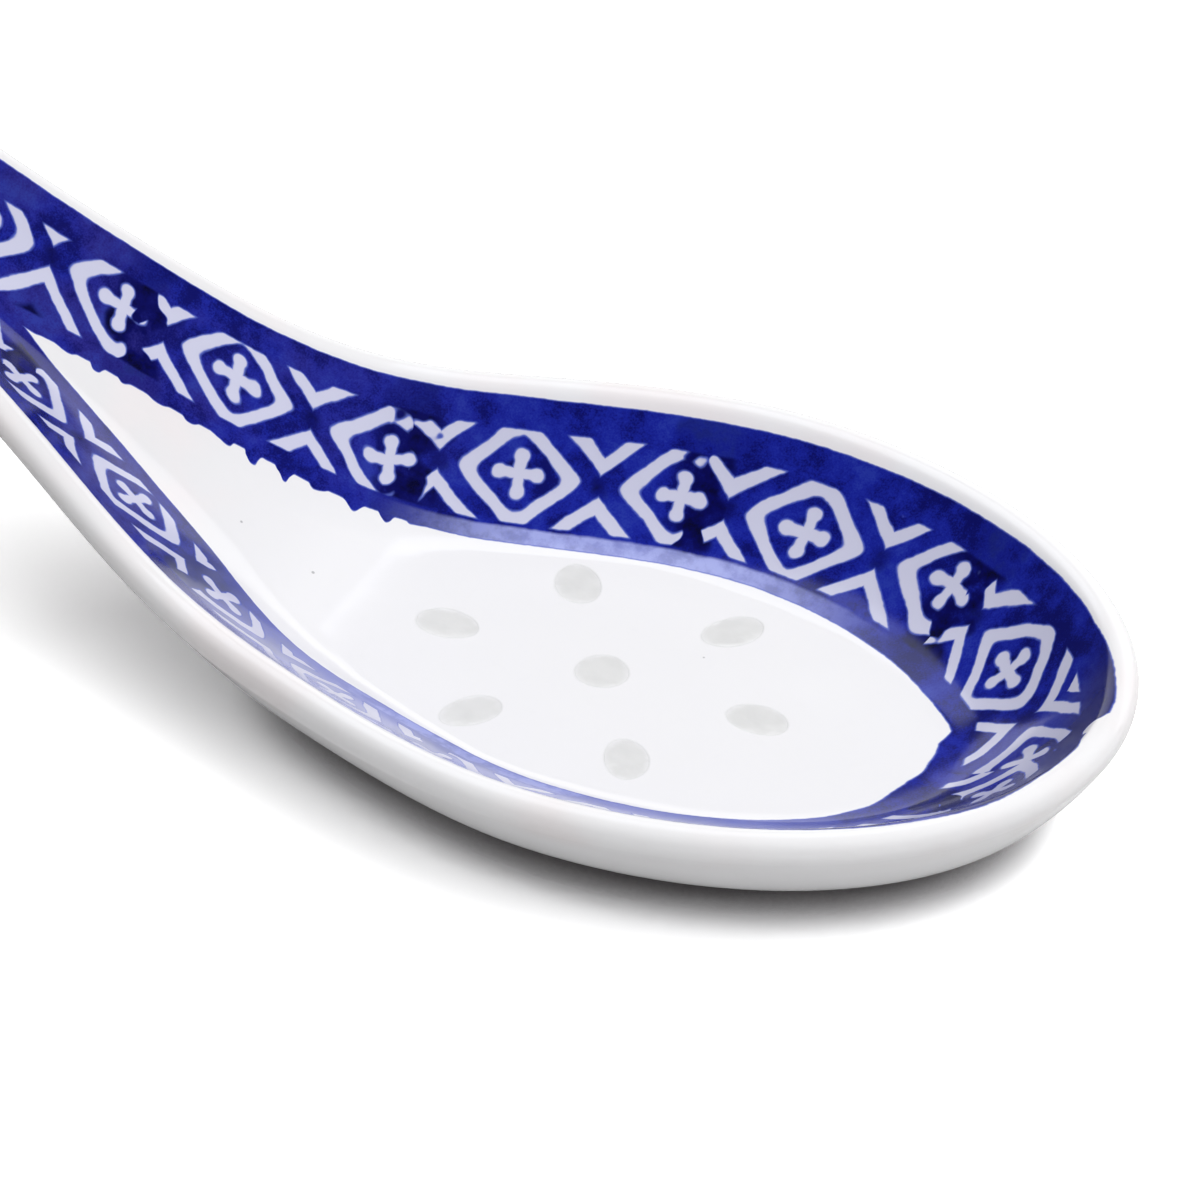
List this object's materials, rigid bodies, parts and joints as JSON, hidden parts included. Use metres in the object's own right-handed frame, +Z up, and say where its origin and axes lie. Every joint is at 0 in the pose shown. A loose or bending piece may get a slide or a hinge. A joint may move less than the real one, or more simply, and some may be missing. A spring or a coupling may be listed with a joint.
{
  "type": "chinese soup spoon",
  "caption": "Porcelain soup spoon with a flat-bottomed oval bowl, an open trough handle, an oval foot and translucent rice-grain windows in the floor.",
  "frame": {"origin": "centre of the oval foot's resting face, on the plane that the spoon stands on", "axes": "+X from the handle towards the tip of the bowl, +Y to the left of that, +Z up out of the open bowl"},
  "size_m": [0.126, 0.0464, 0.0434],
  "materials": {
    "porcelain": "clear gloss glaze over white porcelain, with a cobalt lattice border printed under the glaze on the inner wall",
    "grain_glaze": "clear glaze that fills the pierced grains, slightly sunken, glossy"
  },
  "bodies": {
    "root": {"porcelain_body": "porcelain", "grain_window_centre": "grain_glaze", "grain_window_1": "grain_glaze", "grain_window_2": "grain_glaze", "grain_window_3": "grain_glaze", "grain_window_4": "grain_glaze", "grain_window_5": "grain_glaze", "grain_window_6": "grain_glaze"}
  },
  "joints": []
}
